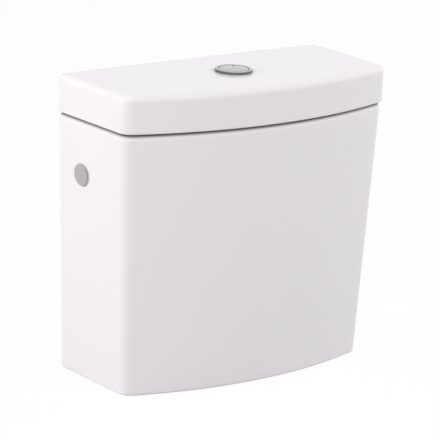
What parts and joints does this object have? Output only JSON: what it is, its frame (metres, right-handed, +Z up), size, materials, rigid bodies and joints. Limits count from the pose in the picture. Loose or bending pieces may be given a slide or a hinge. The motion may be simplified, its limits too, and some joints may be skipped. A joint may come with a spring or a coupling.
{
  "type": "toilet cistern",
  "caption": "White close-coupled toilet cistern with bowed front, loose lid, dual flush push button, side inlet and flush valve.",
  "frame": {"origin": "on the flush outlet's axis, midway between the coupling bolts, in the plane of the bottom rim", "axes": "+Z up, +Y towards the wall behind, +X to the inlet side"},
  "size_m": [0.4071, 0.1746, 0.367],
  "materials": {
    "china": "white glazed vitreous china",
    "chrome": "bright chrome on moulded plastic",
    "plug_grey": "light grey moulded plastic",
    "white_plastic": "white moulded plastic",
    "grey_plastic": "grey moulded plastic",
    "blue_plastic": "blue moulded plastic",
    "black_rubber": "black moulded rubber",
    "pan_foam": "black closed cell foam rubber",
    "silicone": "red silicone rubber",
    "zinc_steel": "zinc plated steel",
    "stainless": "drawn stainless steel"
  },
  "bodies": {
    "cistern": {"tank": "china", "flush_valve_base": "white_plastic", "base_seal_washer": "black_rubber", "valve_back_nut": "white_plastic", "pan_seal": "pan_foam", "valve_tower": "white_plastic", "rocker_bracket": "grey_plastic", "rocker_pins": "stainless", "fill_valve_body": "white_plastic", "inlet_washer": "black_rubber", "inlet_nut": "white_plastic", "inlet_filter": "white_plastic", "valve_diaphragm": "silicone", "fill_valve_cap": "grey_plastic", "lever_pin": "stainless", "fill_tube": "white_plastic", "blanking_plug": "plug_grey", "plug_washer": "black_rubber", "plug_nut": "plug_grey", "coupling_bolts": "zinc_steel", "bolt_rubber_washers": "black_rubber", "bolt_plate_washers": "zinc_steel", "bolt_lock_nuts": "zinc_steel"},
    "lid": {"lid": "china", "button_bezel": "chrome", "bezel_gasket": "black_rubber", "bezel_nut": "white_plastic", "full_button_spring": "stainless", "half_button_spring": "stainless"},
    "full_button": {"full_flush_button": "chrome", "full_push_rod": "white_plastic"},
    "half_button": {"half_flush_button": "chrome", "half_push_rod": "white_plastic"},
    "full_rocker": {"full_rocker": "blue_plastic"},
    "half_rocker": {"half_rocker": "blue_plastic"},
    "flush_plunger": {"overflow_tube": "white_plastic", "flush_seal": "silicone", "seal_clamp_ring": "grey_plastic", "full_flush_float": "blue_plastic", "lift_yoke": "grey_plastic"},
    "half_float": {"half_float_slider": "white_plastic", "half_flush_float": "blue_plastic"},
    "float_arm": {"float_lever": "white_plastic", "float_adjuster": "grey_plastic", "fill_float": "blue_plastic"}
  },
  "joints": [
    {"name": "lid_lift", "type": "slide", "parent": "cistern", "child": "lid", "axis": [0, 0, 1], "range_m": [0, 0.15]},
    {"name": "full_press", "type": "slide", "parent": "lid", "child": "full_button", "axis": [0, 0, -1], "range_m": [0, 0.008], "stiffness_N_per_m": 350, "springref_m": -0.004, "deforming": ["full_button_spring"]},
    {"name": "half_press", "type": "slide", "parent": "lid", "child": "half_button", "axis": [0, 0, -1], "range_m": [0, 0.008], "stiffness_N_per_m": 350, "springref_m": -0.004, "deforming": ["half_button_spring"]},
    {"name": "full_rocker_turn", "type": "hinge", "parent": "cistern", "child": "full_rocker", "pos_m": [0.014, -0.006, 0.262], "axis": [0, -1, 0], "range_deg": [0, 20.9]},
    {"name": "half_rocker_turn", "type": "hinge", "parent": "cistern", "child": "half_rocker", "pos_m": [-0.0116, 0.006, 0.262], "axis": [0, 1, 0], "range_deg": [0, 20.9]},
    {"name": "flush_lift", "type": "slide", "parent": "cistern", "child": "flush_plunger", "axis": [0, 0, 1], "range_m": [0, 0.008]},
    {"name": "half_float_lift", "type": "slide", "parent": "cistern", "child": "half_float", "axis": [0, 0, 1], "range_m": [0, 0.008]},
    {"name": "float_swing", "type": "hinge", "parent": "cistern", "child": "float_arm", "pos_m": [0.14203, 0.035, 0.287], "axis": [0, 1, 0], "range_deg": [0, 15]}
  ],
  "couplings": [
    {"joint": "full_rocker_turn", "follows": "full_press", "rad_per_m": 45.455},
    {"joint": "flush_lift", "follows": "full_press", "ratio": 1},
    {"joint": "half_rocker_turn", "follows": "half_press", "rad_per_m": 45.455},
    {"joint": "half_float_lift", "follows": "half_press", "ratio": 1}
  ]
}
